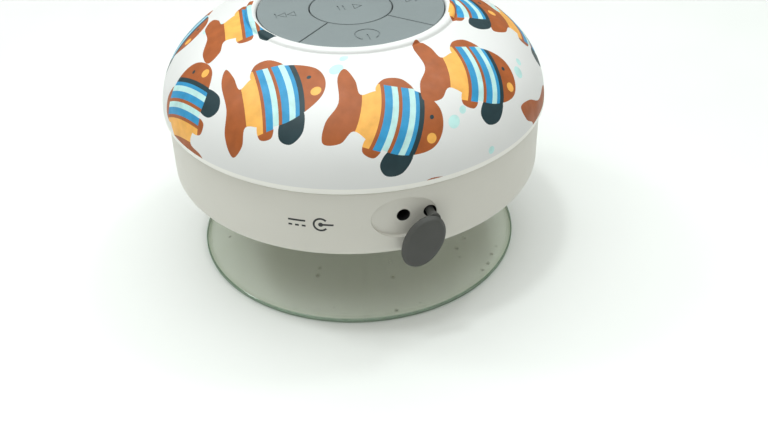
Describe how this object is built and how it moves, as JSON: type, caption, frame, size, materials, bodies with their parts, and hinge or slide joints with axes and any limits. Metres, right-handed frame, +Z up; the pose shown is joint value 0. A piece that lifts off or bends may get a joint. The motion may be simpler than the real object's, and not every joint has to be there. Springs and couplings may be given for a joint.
{
  "type": "shower speaker",
  "caption": "Round splash-proof wireless speaker with a domed shell, a round keypad on top, a rubber charging port cover and a clear suction cup underneath.",
  "frame": {"origin": "centre of the suction cup's rim, in the plane of the surface that it grips", "axes": "+Z up along the housing's axis towards the keypad, -Y towards the charging port, +X to the right seen from the port's side"},
  "size_m": [0.0854, 0.0877, 0.0578],
  "materials": {
    "dome": "satin white with printed decoration",
    "lower_casing": "satin off-white",
    "seal_rubber": "matt black",
    "clear_pvc": "clear, glossy, slightly green soft PVC",
    "white_nylon": "natural white",
    "key_silicone": "matt blue-grey silicone",
    "black_plastic": "matt black",
    "cover_rubber": "matt dark grey silicone",
    "screw_steel": "zinc plated",
    "tinned_metal": "tinned",
    "board_laminate": "green solder mask",
    "chip_resin": "black moulding resin",
    "ferrite": "dark ferrite",
    "capacitor_ceramic": "tan ceramic",
    "lamp_resin": "clear resin",
    "contact_metal": "gold plated",
    "lead_sleeve": "red and black PVC sleeve",
    "cell_foil": "laminated foil pouch",
    "foam_tape": "foam tape",
    "driver_steel": "black pressed steel",
    "plated_iron": "zinc plated",
    "terminal_laminate": "brown laminate",
    "mesh_fabric": "fine black mesh",
    "spider_cloth": "resin-treated cloth",
    "cone_paper": "black paper",
    "coil_copper": "enamelled copper on a paper former"
  },
  "bodies": {
    "housing": {"top_shell": "dome", "lower_shell": "lower_casing", "shell_seal": "seal_rubber", "body_screws": "screw_steel", "cup_socket": "lower_casing", "tact_switches": "tinned_metal", "keypad_web": "key_silicone", "keypad_spacer": "white_nylon", "main_board": "board_laminate", "board_screws": "screw_steel", "bluetooth_chip": "chip_resin", "amplifier_chip": "chip_resin", "charger_chip": "chip_resin", "crystal": "tinned_metal", "capacitors": "capacitor_ceramic", "inductors": "ferrite", "status_led": "lamp_resin", "microphone": "tinned_metal", "dc_jack": "black_plastic", "jack_contacts": "contact_metal", "jack_board": "board_laminate", "jack_leads": "lead_sleeve", "battery_cell": "cell_foil", "battery_pad": "foam_tape", "battery_leads": "lead_sleeve", "battery_plug": "white_nylon", "battery_socket": "white_nylon", "driver_basket": "driver_steel", "driver_top_plate": "plated_iron", "driver_magnet": "ferrite", "driver_yoke": "plated_iron", "driver_gasket": "seal_rubber", "driver_screws": "screw_steel", "driver_terminals": "terminal_laminate", "speaker_leads": "lead_sleeve", "splash_mesh": "mesh_fabric", "driver_surround": "seal_rubber", "driver_spider": "spider_cloth"},
    "play_button": {"play_key": "key_silicone", "play_plunger": "black_plastic"},
    "answer_button": {"answer_key": "key_silicone", "answer_plunger": "black_plastic"},
    "previous_button": {"previous_key": "key_silicone", "previous_plunger": "black_plastic"},
    "next_button": {"next_key": "key_silicone", "next_plunger": "black_plastic"},
    "power_button": {"power_key": "key_silicone", "power_plunger": "black_plastic"},
    "cover": {"port_cover": "cover_rubber"},
    "stud": {"cup_stud": "white_nylon"},
    "cup": {"suction_cup": "clear_pvc"},
    "moving_coil": {"driver_cone": "cone_paper", "voice_coil": "coil_copper", "dust_cap": "cone_paper"}
  },
  "joints": [
    {"name": "play_press", "type": "slide", "parent": "housing", "child": "play_button", "axis": [0, 0, -1], "range_m": [0, 0.0004], "stiffness_N_per_m": 1500, "springref_m": -0.001},
    {"name": "answer_press", "type": "slide", "parent": "housing", "child": "answer_button", "axis": [0, 0, -1], "range_m": [0, 0.0004], "stiffness_N_per_m": 1500, "springref_m": -0.001},
    {"name": "previous_press", "type": "slide", "parent": "housing", "child": "previous_button", "axis": [0, 0, -1], "range_m": [0, 0.0004], "stiffness_N_per_m": 1500, "springref_m": -0.001},
    {"name": "next_press", "type": "slide", "parent": "housing", "child": "next_button", "axis": [0, 0, -1], "range_m": [0, 0.0004], "stiffness_N_per_m": 1500, "springref_m": -0.001},
    {"name": "power_press", "type": "slide", "parent": "housing", "child": "power_button", "axis": [0, 0, -1], "range_m": [0, 0.0004], "stiffness_N_per_m": 1500, "springref_m": -0.001},
    {"name": "port_cover_swivel", "type": "hinge", "parent": "housing", "child": "cover", "pos_m": [0.00549, -0.041, 0.03], "axis": [0, -1, 0], "range_deg": [-66, 90]},
    {"name": "cup_swivel", "type": "hinge", "parent": "housing", "child": "stud", "pos_m": [0, 0, 0.0165], "axis": [0, 0, 1], "continuous": true},
    {"name": "cup_press", "type": "slide", "parent": "stud", "child": "cup", "axis": [0, 0, 1], "range_m": [0, 0.003], "stiffness_N_per_m": 1500, "springref_m": -0.004, "deforming": ["suction_cup"]},
    {"name": "cone_excursion", "type": "slide", "parent": "housing", "child": "moving_coil", "axis": [0, 0, 1], "range_m": [-0.001, 0.001], "stiffness_N_per_m": 400, "deforming": ["driver_surround", "driver_spider"]}
  ]
}
